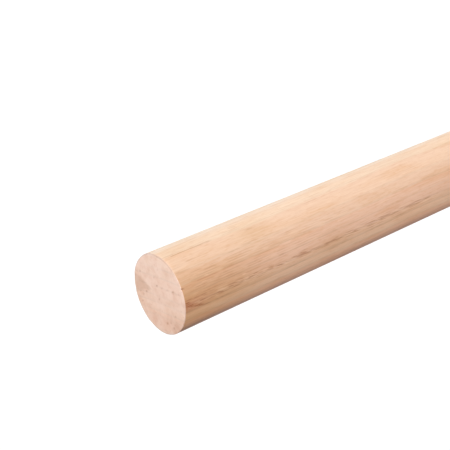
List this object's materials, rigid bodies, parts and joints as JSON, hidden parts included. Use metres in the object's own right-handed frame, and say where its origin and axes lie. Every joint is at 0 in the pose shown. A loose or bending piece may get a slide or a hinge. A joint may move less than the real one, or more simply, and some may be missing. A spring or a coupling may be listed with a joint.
{
  "type": "wooden dowel rod",
  "caption": "Straight round hardwood dowel rod with sawn ends, the top one a little out of square.",
  "frame": {"origin": "middle of the square standing end, which is the rod's lowest face", "axes": "+Z along the rod, from the standing end to the top end; the top end falls away towards +X"},
  "size_m": [0.0254, 0.0254, 0.3051],
  "materials": {
    "wood": "matte"
  },
  "bodies": {
    "root": {"rod": "wood"}
  },
  "joints": []
}
